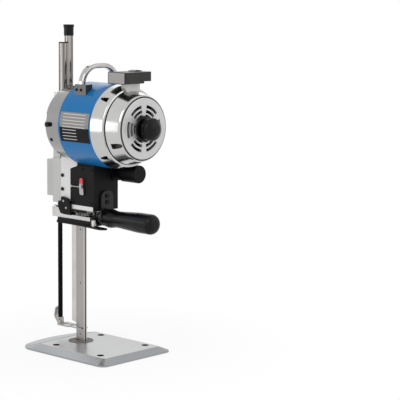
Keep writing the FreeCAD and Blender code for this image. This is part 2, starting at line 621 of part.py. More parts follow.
# Rear end bell, grille and bearings
groove_x = bell_step + 1.6
bell_points = [(shell_rear, shell_r - 6), (shell_rear, shell_r), (bell_step - 1, bell_r2 + 4.3, 2.5),
               (bell_step, bell_r2 - 2), (groove_x, bell_r2 - 2), (groove_x, bell_r2), (bell_end - 2, bell_r3 + 1, 7),
               (bell_end, grille_r), (grille_front - 2, grille_r), (grille_front - 2, grille_r - 4),
               (bell_step - 3, bell_r2 - 9)]
bell_form = turned("bell_form", bell_points, 0, motor_z)
bell_spots = []
for turn in (45, 135, 225, 315):
    a = math.radians(turn)
    bell_spots.append((shell_rear + 5, (shell_r - 6) * math.cos(a), motor_z + (shell_r - 6) * math.sin(a)))
bell_tools = holes("bell_pocket", "X", bell_spots, 5, 14)
bell_tools += holes("ring_pocket", "X", [(136, -55.3, motor_z - 28.5), (136, 55.3, motor_z + 28.5)], 5, 14)
bell_tools += holes("bell_hole", "X", bell_spots, 1.8, -15)
node(cut("bell_cut", bell_form, bell_tools), "rear_end_bell")
node(screws("bell_screw_set", "X", bell_spots, 3.8, 5, 1.8, -4.5), "head_fixings")
slot_tools = []
for band, r in enumerate((38.7, 30.3, 22.4)):
    for k in range(6):
        wedge = doc.addObject("Part::Cylinder", "slot_wedge_%d_%d" % (band, k))
        wedge.Radius = r + 2.7
        wedge.Height = 20
        wedge.Angle = 42
        wedge.Placement = FreeCAD.Placement(FreeCAD.Vector(val(grille_front) - 6, 0, val(motor_z)),
                                            FreeCAD.Rotation(FreeCAD.Vector(1, 0, 0), 60 * k + 9)
                                            * FreeCAD.Rotation(FreeCAD.Vector(0, 1, 0), 90))
        wedge.setExpression("Placement.Base.z", "Sizes.motor_z")
        inner = rod("slot_core_%d_%d" % (band, k), "X", r - 2.7, grille_front - 7, 0, motor_z, 22)
        slot_tools.append(cut("slot_%d_%d" % (band, k), wedge, [inner]))
grille_disc = rod("grille_disc", "X", grille_r, grille_front, 0, motor_z, bell_end - grille_front)
grille_hub = rod("grille_hub", "X", bearing_r + 3, grille_front - 9, 0, motor_z, 10)
grille_tools = [rod("grille_seat", "X", bearing_r, grille_front - 10, 0, motor_z, 9),
                rod("grille_pass", "X", shaft_r + 2, grille_front - 10, 0, motor_z, 30)]
node(cut("grille_cut", fuse("grille_form", [grille_disc, grille_hub]), slot_tools + grille_tools), "rear_grille")
for label, x0 in (("front_bearing", bearing_front), ("rear_bearing", grille_front - 9)):
    node(turned(label + "_form", ring_points(x0, x0 + 8, shaft_r + run_fit, bearing_r), 0, motor_z),
         "shaft_bearings")

# Shaft, fan, crank disc and hand knob
node(turned("shaft_form", ring_points(crank_front, bell_end + 20, 0, shaft_r), 0, motor_z), "motor_shaft")
node(turned("knob_form", [(bell_end + 2, shaft_r), (bell_end + 2, 23, 1), (bell_end + 5, 23, 1.5), (bell_end + 6, 15),
                          (bell_end + 8, 15), (bell_end + 11, knob_r, 2.5),
                          (knob_end - 7, knob_r, 5), (knob_end - 1.5, 11, 9), (knob_end, 0), (bell_end + 20, 0),
                          (bell_end + 20, shaft_r)], 0, motor_z), "hand_knob")
fan_hub = turned("fan_hub", ring_points(106, 122, shaft_r, 14), 0, motor_z)
fan_blades = []
for k in range(8):
    blade = box("fan_blade_%d" % k, 106, 122, -1.2, 1.2, 12, 52)
    blade.Placement = FreeCAD.Placement(FreeCAD.Vector(106, 0, val(motor_z)),
                                        FreeCAD.Rotation(FreeCAD.Vector(1, 0, 0), 45 * k)
                                        ).multiply(FreeCAD.Placement(FreeCAD.Vector(0, -1.2, 12), FreeCAD.Rotation()))
    fan_blades.append(blade)
node(fuse("fan_form", [fan_hub] + fan_blades), "cooling_fan")
crank_plate = rod("crank_plate", "X", crank_r, crank_front, 0, motor_z, crank_rear - crank_front)
crank_bore = rod("crank_bore", "X", shaft_r, crank_front - 1, 0, motor_z, 20)
crank_tools = [crank_bore]
for k in (-1, 1):
    crank_tools.append(rod("crank_relief_%d" % (k + 1), "X", 7, crank_front - 1, 17.0 * k, motor_z + 8, 20))
pin_z = motor_z + crank_throw
crank_stub = rod("crank_stub", "X", crank_pin_r, rod_rear + 0.35, 0, pin_z, crank_front - rod_rear - 0.35)
node(fuse("crank_form", [cut("crank_cut", crank_plate, crank_tools), crank_stub]), "crank_disc")

# Connecting rod, crosshead and knife
wrist_z = pin_z - rod_length
rod_wide = rod_rear - rod_front
big_end = rod("big_end", "X", 13, rod_front, 0, pin_z, rod_wide)
small_end = rod("small_end", "X", 8.5, rod_front, 0, wrist_z, rod_wide)
shank = box("rod_shank", rod_front + 1.5, rod_rear - 1.5, -5, 5, wrist_z, pin_z)
rod_bores = [rod("big_bore", "X", crank_pin_r + 0.3, rod_front - 1, 0, pin_z, 20),
             rod("small_bore", "X", wrist_r + run_fit, rod_front - 1, 0, wrist_z, 20)]
node(cut("rod_cut", fuse("rod_form", [big_end, small_end, shank]), rod_bores), "connecting_rod")
cross_half = guide_half - gib_thick - slide_fit
cross_low = wrist_z - 15
cross_front = seam_x + 1
cross_block = box("cross_block", cross_front, guide_rear - 1, -cross_half, cross_half, cross_low, wrist_z + 15)
jaw_low = knife_shoulder + 2
jaw = box("cross_jaw", cross_front, tang_rear + 0.3, -6, 6, jaw_low, cross_low + 1)
clamp_spot = [(tang_rear - 3, -6, jaw_low + 12)]
cross_tools = [box("rod_slot", rod_front - slide_fit, rod_rear + slide_fit, -20, 20, cross_low + 4, wrist_z + 20),
               rod("wrist_hole", "X", wrist_r, cross_front - 1, 0, wrist_z, 40),
               box("tang_slot", tang_front, tang_rear + 1, -knife_half, knife_half, jaw_low - 1, cross_low - 1)]
cross_tools += holes("clamp_hole", "Y", clamp_spot, 1.8, 12)
node(cut("cross_cut", fuse("cross_form", [cross_block, jaw]), cross_tools), "crosshead")
node(rod("wrist_form", "X", wrist_r, cross_front, 0, wrist_z, guide_rear - 1 - cross_front), "crosshead_pins")
node(screws("clamp_screw_set", "Y", clamp_spot, 3.2, -1.6, 1.8, 12), "crosshead_pins")
knife_points = [(knife_front, knife_tip + 3), (knife_rear - 4, knife_tip), (knife_rear, knife_tip), (knife_rear, 250),
                (tang_rear, 252), (tang_rear, cross_low - 1), (tang_front, cross_low - 1), (tang_front, knife_shoulder),
                (knife_front, knife_shoulder)]
knife_form = plate("knife_form", "XZ", knife_points, -knife_half, knife_half * 2,
                   [(clamp_spot[0][0], clamp_spot[0][2], 1.8)])
node(knife_form, "knife_blade")

# Presser bar and foot
node(box("bar_form", bar_x - bar_half, bar_x + bar_half, -bar_half, bar_half, bar_low, bar_top), "presser_bar")
shoe_top = shoe_low + shoe_thick
shoe_points = [(6, shoe_low), (6, shoe_top), (-60, shoe_top, 6), (-70, 47, 8), (-67, 62, 4), (-59.5, 67), (-60.5, 69),
               (-69, 63.8, 6.5), (-72.6, 47, 10), (-61, shoe_low, 8)]
shoe_form = plate("shoe_form", "XZ", shoe_points, -shoe_half, shoe_half * 2)
fork_points = [(-30, -fork_half, 5), (10, -fork_half), (10, fork_half), (-30, fork_half, 5)]
fork_way = plate("fork_way", "XY", fork_points, 0, 60)
oval_points = [(-51, -4.5, 4.4), (-36, -4.5, 4.4), (-36, 4.5, 4.4), (-51, 4.5, 4.4)]
oval = plate("shoe_oval", "XY", oval_points, 0, 60)
socket = box("shoe_socket", bar_x - 4.4, bar_x + 4.4, -4.4, 4.4, shoe_low + 1, 47)
bar_seat = box("bar_seat", bar_x - bar_half, bar_x + bar_half, -bar_half, bar_half, bar_low, 80)
foot_spot = [(bar_x, -4.4, 43)]
toe_trim = [plate("toe_trim_%d" % i, "XY", [(-80, 24 * k), (-49, 24 * k), (-57, 4 * k), (-80, 4 * k)], 0, 90)
            for i, k in enumerate((-1, 1))]
toe_trim += [plate("shoe_trim_%d" % i, "XY", [(-40, 20 * k), (10, 20 * k), (10, 8.4 * k), (-22, 8.4 * k)], 0, 60)
             for i, k in enumerate((-1, 1))]
shoe_cut = cut("shoe_cut", fuse("shoe_all", [cut("shoe_slots", shoe_form, [fork_way, oval] + toe_trim), socket]),
               [bar_seat] + holes("foot_hole", "Y", foot_spot, 1.3, 1.4))
node(shoe_cut, "presser_foot")
node(screws("foot_screw_set", "Y", foot_spot, 2.4, -1.5, 1.3, 1.4), "presser_foot")

# Sharpener block with its rails, lift rod and catch
block_main = box("block_main", -50, -28, -27, 27, block_low, block_top)
block_nose = box("block_nose", -67, -50, -8, 8, block_low, block_top)
rails = [box("rail_side_%d" % i, -30, 50, y0, y0 + 4, block_low, block_low + 7) for i, y0 in enumerate((-27, 23))]
rail_end = box("rail_end", 45, 50, -27, 27, block_low, block_low + 7)
rail_knob = rod("rail_knob", "Z", 4.2, 62, -29, tray_top, 11)
block_tools = [box("block_bar_way", bar_x - gap, bar_x + gap, -gap, gap, 200, 300),
               rod("block_lift_seat", "Z", lift_r, lift_x, lift_y, block_low + 4, 60),
               rod("block_drive_way", "Z", drive_r + slide_fit, drive_x, drive_y, 200, 100)]
posts_up = [(nose_x, nose_y), (nose_x, -nose_y), (gear_x, gear_pitch), (gear_x, -gear_pitch)]
node(cut("block_cut", fuse("block_form", [block_main, block_nose, rail_end, rail_knob] + rails), block_tools), "sharpener_block")
node(rod("lift_form", "Z", lift_r, lift_x, lift_y, block_low + 4, tall_top - 15 - block_low), "lift_rod")
catch_foot = box("catch_foot", -18, 4, -head_half - 1, -23, block_low + 7, block_low + 13)
catch_points = [(-19, block_low + 9, 1), (6.5, block_low + 9, 2), (6.5, 268, 3), (0.5, 278, 2), (-17, 281, 1),
                (-18, 273, 1), (-25, 272, 1), (-25, 260, 1)]
catch_plate = plate("catch_plate", "XZ", catch_points, head_half + 1, 4)
node(fuse("catch_form", [catch_foot, catch_plate]), "sharpener_catch")

# Sharpener tray with the pulley posts and the finger arm
tray_points = [(-48, -16, 3), (-36, -29.5, 4), (30, -31, 4), (86, -40, 7), (97, -33, 7), (95, -27, 5), (52, -21, 4),
               (52, 28, 5), (-36, 28, 4), (-48, 16, 3)]
tray_form = plate("tray_form", "XY", tray_points, tray_low, tray_top - tray_low)
rims = [box("tray_rim_left", -33, 50, -29.5, -27.5, tray_top - 1, block_low),
        box("tray_rim_right", -33, 50, 25.5, 27.5, tray_top - 1, block_low)]
tray_tools = [box("tray_std_way", std_front - 0.6, std_rear + 0.8, -std_half - 0.7, std_half + 0.7, 200, 260),
              box("tray_knife_way", knife_front - 1, std_front, -1.4, 1.4, 200, 260)]
posts = [rod("post_%d" % i, "Z", post_r, x, y, tray_top - 1, block_low + 1 - tray_top) for i, (x, y) in enumerate(posts_up[:2])]
posts += [rod("gear_post_%d" % i, "Z", post_r, x, y, tray_top - 1, gear_high + 1.5 - tray_top) for i, (x, y) in enumerate(posts_up[2:])]
node(fuse("tray_all", [cut("tray_cut", tray_form, tray_tools)] + rims + posts), "sharpener_tray")


# Belt pulleys, gears and belts
def pulley(label, x, y, r, extra=None):
    disc = rod(label + "_disc", "Z", r, x, y, belt_low - 0.3, belt_high - belt_low + 0.6)
    pieces = [disc] if extra is None else [disc, extra]
    form = disc if extra is None else fuse(label + "_all", pieces)
    bore = rod(label + "_bore", "Z", post_r + run_fit, x, y, 200, 100)
    node(cut(label + "_cut", form, [bore]), label)


def gear(label, x, y, phase):
    teeth = 32
    pitch = val(gear_pitch)
    points = []
    for k in range(teeth):
        middle = math.radians(phase) + 2 * math.pi * k / teeth
        for r, half in ((pitch - 1.15, 0.062), (pitch + 0.75, 0.02), (pitch + 0.75, -0.02), (pitch - 1.15, -0.062)):
            a = middle - half
            points.append(FreeCAD.Vector(r * math.cos(a), r * math.sin(a), 0))
    wire = Part.makePolygon(points + points[:1])
    form = doc.addObject("Part::Feature", label)
    form.Shape = Part.Face(wire).extrude(FreeCAD.Vector(0, 0, val(gear_high) - val(gear_low)))
    neck = rod(label + "_neck", "Z", rear_r - 1.5, x, y, belt_high, gear_low - belt_high + 0.5)
    return fuse(label + "_neck_all", [put(form, x, y, gear_low), neck])


def belt(label, stops):
    # Flat loop round pulleys listed anticlockwise as (x, y, radius).
    body = doc.addObject("PartDesign::Body", label + "_form")
    sketch = sketch_on(body, "XY", belt_low, [])
    for grow in (0.1, 0.1 + belt_thick):
        loop(sketch, [(x, y, r + grow) for x, y, r in stops])
    pad = body.newObject("PartDesign::Pad", label + "_pad")
    pad.Profile = sketch
    bind(pad, "Length", belt_high - belt_low)
    body.Tip = pad
    node(body, "abrasive_belts")


def loop(sketch, stops):
    n = len(stops)
    leave, enter = [None] * n, [None] * n
    for i in range(n):
        j = (i + 1) % n
        a = FreeCAD.Vector(val(stops[i][0]), val(stops[i][1]), 0)
        b = FreeCAD.Vector(val(stops[j][0]), val(stops[j][1]), 0)
        way = math.atan2(b.y - a.y, b.x - a.x) - math.acos((val(stops[i][2]) - val(stops[j][2])) / (b - a).Length)
        out = FreeCAD.Vector(math.cos(way), math.sin(way), 0)
        leave[i] = a + out * val(stops[i][2])
        enter[j] = b + out * val(stops[j][2])
    lines, arcs = [], []
    for i in range(n):
        lines.append(sketch.addGeometry(Part.LineSegment(leave[i], enter[(i + 1) % n])))
    for i, (x, y, r) in enumerate(stops):
        c = FreeCAD.Vector(val(x), val(y), 0)
        a0 = math.atan2(enter[i].y - c.y, enter[i].x - c.x)
        a1 = math.atan2(leave[i].y - c.y, leave[i].x - c.x)
        arc = sketch.addGeometry(Part.ArcOfCircle(Part.Circle(c, FreeCAD.Vector(0, 0, 1), val(r)), a0, a1))
        sketch.addConstraint(Sketcher.Constraint("Tangent", lines[i - 1], 2, arc, 1))
        sketch.addConstraint(Sketcher.Constraint("Tangent", arc, 2, lines[i], 1))
        fix(sketch, arc, 3, x, y)
        fix_radius(sketch, arc, r)


pulley("nose_pulley_left", nose_x, -nose_y, nose_r)
pulley("nose_pulley_right", nose_x, nose_y, nose_r)
pulley("belt_gear_left", gear_x, -gear_pitch, rear_r, gear("gear_left", gear_x, -gear_pitch, 0))
pulley("belt_gear_right", gear_x, gear_pitch, rear_r, gear("gear_right", gear_x, gear_pitch, 5.625))
drive_pulley = rod("drive_pulley", "Z", outer_r, drive_x, drive_y, belt_low - 0.3, belt_high - belt_low + 0.6)
drive_bar = rod("drive_bar", "Z", drive_r, drive_x, drive_y, belt_low - 0.3, short_top - 12 - belt_low)
node(fuse("drive_form", [drive_pulley, drive_bar]), "belt_drive_shaft")
belt("belt_left", [(drive_x, drive_y, outer_r), (gear_x, -gear_pitch, rear_r), (nose_x, -nose_y, nose_r)])
belt("belt_right", [(nose_x, nose_y, nose_r), (gear_x, gear_pitch, rear_r)])

# Grip bracket, ribbed nut, stud and hand grip
bracket_points = [(-15, grip_z - 15, 13), (15, grip_z - 15, 13), (15, 296, 12), (-15, 296, 12)]
bracket_spots = [(grip_front, 0, z) for z in (275.5, 286.6)]
bracket_holes = [(0, grip_z, stud_r)] + [(0, z, 2.2) for x, y, z in bracket_spots]
node(plate("bracket_form", "YZ", bracket_points, head_rear, grip_front - head_rear, bracket_holes), "grip_bracket")
node(screws("bracket_screw_set", "X", bracket_spots, 4, 2.2, 2.2, head_rear - grip_front), "head_fixings")
nut_ring = turned("nut_form", [(54, stud_r), (54, 11), (55.5, 12.6), (57, 11.4), (58.5, 12.6), (60, 11.4), (61.5, 12.6),
                               (head_rear, 11.4), (head_rear, stud_r)], 0, grip_z)
node(nut_ring, "grip_stud")
node(rod("stud_form", "X", stud_r, 52, 0, grip_z, 110), "grip_stud")
node(turned("grip_form", [(grip_front, stud_r), (grip_front, 15, 1), (grip_front + 6, 17, 4), (grip_front + 13, 17, 5),
                          (grip_front + 27, grip_thin, 40), (grip_end - 40, grip_thick, 60), (grip_end - 4, grip_thick, 12), (grip_end, 8, 6),
                          (grip_end, 0), (162, 0), (162, stud_r)], 0, grip_z), "hand_grip")

# Capacitor on its bracket
can_bracket_points = [(can_y - 17, can_z - 15, 4), (can_y + 14, can_z - 15, 6), (can_y + 14, can_z + 13, 6),
                      (can_y - 17, can_z + 13, 4)]
node(plate("can_bracket_form", "YZ", can_bracket_points, head_rear, 2.5), "capacitor")
node(turned("can_form", [(head_rear + 2.5, 0), (head_rear + 2.5, 10), (76, 10), (76, can_r, 3), (can_end, can_r, 2),
                         (can_end, 0)], can_y, can_z), "capacitor")

# Terminal box on its pedestal, switch and inlet pins
pedestal = box("pedestal_form", 117, 133, -15, 15, 460, box_low)
bell_solid = turned("bell_solid", [(shell_rear, 0)] + bell_points[1:8] + [(bell_end, 0)], 0, motor_z)
node(cut("pedestal_cut", pedestal, [bell_solid]), "terminal_pedestal")
box_points = [(box_front, -box_half), (box_rear, -box_half, 3), (box_rear, box_half, 3), (box_front, box_half, 3)]
box_form = plate("terminal_form", "XY", box_points, box_low, box_top - box_low)
inlet = box("inlet_hollow", box_front + 3, box_rear - 3, box_half - 15, box_half + 1, box_low + 3.5, box_top - 4)
inlet_step = box("inlet_step", box_front - 1, box_rear + 1, box_half - 19, box_half + 1, box_low - 1, box_low + 3.5)
well = box("switch_well", switch_x - 7.4, switch_x + 7.4, switch_y - 11, switch_y + 11, box_top - 5, box_top + 2)
pin_slots = [rod("rocker_pin_hole", "X", 1 + run_fit, switch_x - 8.6, switch_y, box_top - 2.2, 17.2)]
pin_set = []
for i, shift in enumerate((-11, 0, 11)):
    x = (box_front + box_rear) * 0.5 + shift
    pin = (x - 1, x + 1, box_half - 21, box_half - 3, box_low + 6.2, box_low + 12.2)
    pin_set.append(box("inlet_pin_%d" % i, *pin))
    pin_slots.append(box("inlet_pin_slot_%d" % i, *pin))
node(cut("terminal_cut", box_form, [inlet, inlet_step, well] + pin_slots), "terminal_box")
node(group("inlet_pin_set", pin_set), "inlet_pins")
node(plate("end_plate_form", "XZ", [(box_front - 0.5, box_low - 0.5), (box_rear + 0.5, box_low - 0.5),
                                    (box_rear + 0.5, box_top + 0.5, 3), (box_front - 0.5, box_top + 0.5, 3)],
           box_half, 2), "terminal_end_plate")
rocker_points = [(switch_y - 10, box_top - 3.5), (switch_y + 10, box_top - 3.5), (switch_y + 10, box_top + 1.2, 0.8),
                 (switch_y, box_top + 2.6), (switch_y - 10, box_top + 1.2, 0.8)]
rocker = plate("rocker_form", "YZ", rocker_points, switch_x - 7, 14)
rocker_pin = rod("rocker_pin", "X", 1, switch_x - 8.3, switch_y, box_top - 2.2, 16.6)
node(fuse("rocker_all", [rocker, rocker_pin]), "switch_rocker")

# Carrying handle with its two clamps
inside = carry_half - carry_thick
handle_points = [(-carry_half, carry_low), (-carry_half, carry_top, 39), (carry_half, carry_top, 39),
                 (carry_half, carry_low), (inside, carry_low), (inside, carry_top - carry_thick, 30),
                 (-inside, carry_top - carry_thick, 30), (-inside, carry_low)]
arch = plate("carry_form", "YZ", handle_points, carry_x - carry_wide * 0.5, carry_wide)
node(rounded("carry_round", arch, 3.6, lambda e: abs(e.BoundBox.XLength) < 0.01 and e.BoundBox.ZMax > val(carry_low) + 0.5), "carry_handle")
for side, label in ((-1, "handle_clamp_left"), (1, "handle_clamp_right")):
    outer = (carry_half + 4) * side
    inner = (inside - 3) * side
    y0, y1 = (outer, inner) if side < 0 else (inner, outer)
    lump = box(label + "_lump", carry_x - 9, carry_x + 19, y0, y1, carry_low - 24, carry_low + 8)
    leg0, leg1 = (-carry_half, -inside) if side < 0 else (inside, carry_half)
    seat = box(label + "_seat", carry_x - carry_wide * 0.5, carry_x + carry_wide * 0.5, leg0, leg1, carry_low, carry_low + 21)
    bed = rod(label + "_bed", "X", shell_r, 0, 0, motor_z, 120)
    node(cut(label + "_cut", lump, [seat, bed]), "handle_clamps")

# Nameplate, left blank
plate_skin = turned("nameplate_skin", ring_points(24, 97, shell_r + 0.1, shell_r + 0.9), 0, motor_z)
plate_cutout = box("nameplate_window", 20, 100, -shell_r - 15, 15 - shell_r, motor_z - 26, motor_z + 26)
name_plate = doc.addObject("Part::Common", "nameplate_form")
name_plate.Base = plate_skin
name_plate.Tool = plate_cutout
node(name_plate, "nameplate")

finished = []
for label, pieces in nodes.items():
    piece = pieces[0] if len(pieces) == 1 else fuse(label + "_joined", pieces)
    piece.Label = label
    finished.append(piece)
doc.recompute()
faults = []
for obj in doc.Objects:
    if "Invalid" in obj.State or "Error" in obj.State:
        faults.append("%s %s" % (obj.Name, obj.State))
for obj in finished:
    if obj.Shape.isNull() or not obj.Shape.isValid() or obj.Shape.Volume <= 0:
        faults.append("%s shape" % obj.Label)
if faults:
    raise RuntimeError("faulty pieces: " + ", ".join(faults))
os.makedirs("parts", exist_ok=True)
for obj in finished:
    obj.Shape.exportStep("parts/%s.step" % obj.Label)
print(len(finished), "parts written")
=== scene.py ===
import json
import math

import bpy
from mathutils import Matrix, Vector


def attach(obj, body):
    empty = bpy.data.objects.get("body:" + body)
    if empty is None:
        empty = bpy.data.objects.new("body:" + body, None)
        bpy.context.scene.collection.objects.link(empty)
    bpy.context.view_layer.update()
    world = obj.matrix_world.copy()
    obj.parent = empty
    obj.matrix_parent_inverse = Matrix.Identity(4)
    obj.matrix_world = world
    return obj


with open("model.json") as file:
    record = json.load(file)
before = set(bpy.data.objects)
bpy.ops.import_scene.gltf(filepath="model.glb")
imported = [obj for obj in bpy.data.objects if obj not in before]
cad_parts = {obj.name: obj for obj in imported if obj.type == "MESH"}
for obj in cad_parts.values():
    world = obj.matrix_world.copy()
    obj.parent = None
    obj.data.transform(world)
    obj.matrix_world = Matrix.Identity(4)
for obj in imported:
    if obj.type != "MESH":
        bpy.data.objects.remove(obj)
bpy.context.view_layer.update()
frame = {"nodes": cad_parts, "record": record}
MM = 0.001


# Places taken from the solids, in millimetres


def reach(name):
    """Low and high corner of one solid piece."""
    places = [vertex.co / MM for vertex in frame["nodes"][name].data.vertices]
    low = Vector([min(place[i] for place in places) for i in range(3)])
    high = Vector([max(place[i] for place in places) for i in range(3)])
    return low, high


shell_low, shell_high = reach("motor_shell")
shell_radius = (shell_high.y - shell_low.y) / 2
motor_z = (shell_low.z + shell_high.z) / 2


# Shader writing


class Wire:
    """One socket of a shader, with the arithmetic that adds Math nodes."""

    def __init__(self, shader, socket):
        self.shader = shader
        self.socket = socket

    def maths(self, operation, first, second=0.0):
        return self.shader.node("ShaderNodeMath", {"operation": operation}, {0: first, 1: second})

    def __add__(self, other):
        return self.maths("ADD", self, other)

    def __radd__(self, other):
        return self.maths("ADD", other, self)

    def __sub__(self, other):
        return self.maths("SUBTRACT", self, other)

    def __rsub__(self, other):
        return self.maths("SUBTRACT", other, self)

    def __mul__(self, other):
        return self.maths("MULTIPLY", self, other)

    def __rmul__(self, other):
        return self.maths("MULTIPLY", other, self)

    def __gt__(self, other):
        return self.maths("GREATER_THAN", self, other)

    def __lt__(self, other):
        return self.maths("LESS_THAN", self, other)

    def __mod__(self, other):
        return self.maths("FLOORED_MODULO", self, other)

    def __abs__(self):
        return self.maths("ABSOLUTE", self)


class Shader:
    """The node tree of a material or the world, written from expressions."""

    def __init__(self, owner):
        owner.use_nodes = True
        self.tree = owner.node_tree
        self.tree.nodes.clear()

    def node(self, kind, settings, inputs, output=0):
        made = self.tree.nodes.new(kind)
        for name, value in settings.items():
            if name == "stops":
                self.set_stops(made, value)
            else:
                setattr(made, name, value)
        for socket, value in inputs.items():
            self.feed(made.inputs[socket], value)
        return Wire(self, made.outputs[output]) if len(made.outputs) else None

    def set_stops(self, ramp, stops):
        elements = ramp.color_ramp.elements
        while len(elements) < len(stops):
            elements.new(0.5)
        for element, (place, grey) in zip(elements, stops):
            element.position = place
            element.color = (grey, grey, grey, 1)

    def feed(self, socket, value):
        if isinstance(value, Wire):
            self.tree.links.new(value.socket, socket)
        elif socket.type == "RGBA":
            socket.default_value = (*value, 1)
        else:
            socket.default_value = value

    def place(self):
        return self.node("ShaderNodeTexCoord", {}, {}, "Object")

    def looked_at(self):
        """One for the camera, reflections and refractions, nought for the light that falls on things."""
        seen = self.node("ShaderNodeLightPath", {}, {}, "Is Camera Ray")
        for ray in ("Is Glossy Ray", "Is Transmission Ray"):
            seen = seen.maths("MAXIMUM", seen, self.node("ShaderNodeLightPath", {}, {}, ray))
        return seen


class Finish(Shader):
    """A material with one Principled surface."""

    def __init__(self, name):
        self.material = bpy.data.materials.new(name)
        super().__init__(self.material)
        self.where = self.place()

    def stretched(self, scale):
        return self.node("ShaderNodeMapping", {}, {"Vector": self.where, "Scale": scale})

    def noise(self, scale, detail, vector=None):
        return self.node("ShaderNodeTexNoise", {},
                         {"Vector": vector or self.where, "Scale": scale, "Detail": detail})

    def streaks(self, scale, detail):
        """Noise drawn out by its own scale on each axis."""
        return self.noise(1.0, detail, self.stretched(scale))

    def grinding(self, along):
        """Fine lines that run along one axis."""
        scale = [FINE_LINES] * 3
        scale["xyz".index(along)] = LONG_LINES
        return self.streaks(tuple(scale), 4.0)

    def axis(self, name):
        return self.node("ShaderNodeSeparateXYZ", {}, {"Vector": self.where}, name)

    def ramp(self, value, stops):
        return self.node("ShaderNodeValToRGB", {"stops": stops}, {"Fac": value})

    def blend(self, amount, first, second):
        return self.node("ShaderNodeMix", {"data_type": "RGBA"}, {0: amount, 6: first, 7: second}, 2)

    def tinted(self, amount, colour, darkest, lightest):
        """A colour that runs from a darker to a lighter shade of itself."""
        return self.blend(amount, shade(colour, darkest), shade(colour, lightest))

    def relief(self, height, strength, depth):
        return self.node("ShaderNodeBump", {},
                         {"Height": height, "Strength": strength, "Distance": depth * MM})

    def surface(self, **sockets):
        inputs = {name.replace("_", " "): value for name, value in sockets.items()}
        skin = self.node("ShaderNodeBsdfPrincipled", {}, inputs)
        self.node("ShaderNodeOutputMaterial", {}, {"Surface": skin})
        return self.material


def shade(colour, factor):
    return tuple(min(1.0, part * factor) for part in colour)


def sway(noise, amount):
    """Noise that swings about nought."""
    return (noise - 0.5) * amount


def band(value, low, high):
    """One between two places in millimetres, nought elsewhere."""
    return (value > low * MM) * (value < high * MM)


# Finishes of this machine, with noise scales in repeats per metre

FINE_LINES = 900.0
LONG_LINES = 18.0
CAST_GRAIN = 900.0
GROUND_CLOUD = 28.0
CAST_CLOUD = 22.0
PAINT_CLOUD = 18.0
POLISH_HAZE = 34.0
RUBBED_SPOTS = 40.0


def ground_metal(name, colour, along, rough):
    finish = Finish(name)
    lines = finish.grinding(along)
    cloud = finish.noise(GROUND_CLOUD, 4.0)
    tone = finish.tinted(finish.ramp(cloud, [(0.3, 0.0), (0.72, 1.0)]), colour, 0.9, 1.06)
    return finish.surface(Base_Color=tone, Metallic=1.0,
                          Roughness=rough + sway(lines, 0.16) + sway(cloud, 0.1),
                          Normal=finish.relief(lines, strength=0.12, depth=0.2))


def polished_metal(name, colour, rough):
    finish = Finish(name)
    haze = finish.noise(POLISH_HAZE, 5.0)
    wipe = finish.streaks((40.0, 260.0, 260.0), 3.0)
    return finish.surface(Base_Color=finish.tinted(haze, colour, 0.95, 1.0), Metallic=1.0,
                          Roughness=rough + sway(haze, 0.08) + sway(wipe, 0.05))


def cast_metal(name, colour, rough, metal):
    finish = Finish(name)
    grain = finish.noise(CAST_GRAIN, 2.0)
    cloud = finish.noise(CAST_CLOUD, 4.0)
    return finish.surface(Base_Color=finish.tinted(cloud, colour, 0.9, 1.05), Metallic=metal,
                          Roughness=rough + sway(cloud, 0.15),
                          Normal=finish.relief(grain, strength=0.16, depth=0.4))


def coat_of_paint(name, colour, rough, peel, coat=0.0, shine=0.5):
    finish = Finish(name)
    pebble = finish.noise(peel, 2.0)
    cloud = finish.noise(PAINT_CLOUD, 3.0)
    return finish.surface(Base_Color=finish.tinted(cloud, colour, 0.9, 1.1),
                          Roughness=rough + sway(cloud, 0.1),
                          Coat_Weight=coat, Coat_Roughness=0.06, Specular_IOR_Level=shine,
                          Normal=finish.relief(pebble, strength=0.1, depth=0.3))


def moulded_plastic(name, colour, rough, grain, bump, shine):
    finish = Finish(name)
    pebble = finish.noise(grain, 2.0)
    rubbed = finish.noise(RUBBED_SPOTS, 4.0)
    tone = finish.tinted(finish.ramp(rubbed, [(0.45, 0.0), (0.8, 1.0)]), colour, 1.0, 1.5)
    return finish.surface(Base_Color=tone, Roughness=rough + sway(rubbed, 0.16), Specular_IOR_Level=shine,
                          Normal=finish.relief(pebble, strength=bump, depth=0.3))


def iron_laminations():
    sheet = 1.2 * MM
    finish = Finish("laminated_iron")
    layer = (finish.axis("X") % sheet) > sheet / 2
    tone = finish.blend(layer, (0.16, 0.16, 0.17), (0.26, 0.26, 0.27))
    return finish.surface(Base_Color=tone, Metallic=0.8, Roughness=0.5)


def wound_copper():
    wire = 1.6 * MM
    finish = Finish("wound_copper")
    turn = abs((finish.axis("Z") % wire) - wire / 2) * (2 / wire)
    # Each wire is painted dark in the groove between turns and light on its crest: painted shade.
    tone = finish.blend(turn, (0.24, 0.09, 0.03), (0.62, 0.27, 0.11))
    return finish.surface(Base_Color=tone, Metallic=0.7, Roughness=0.35,
                          Normal=finish.relief(turn, strength=0.5, depth=0.4))


def abrasive_cloth():
    finish = Finish("abrasive_cloth")
    grit = finish.noise(2400.0, 2.0)
    tone = finish.blend(grit, (0.03, 0.025, 0.02), (0.12, 0.09, 0.07))
    return finish.surface(Base_Color=tone, Roughness=0.9, Normal=finish.relief(grit, strength=0.8, depth=0.5))


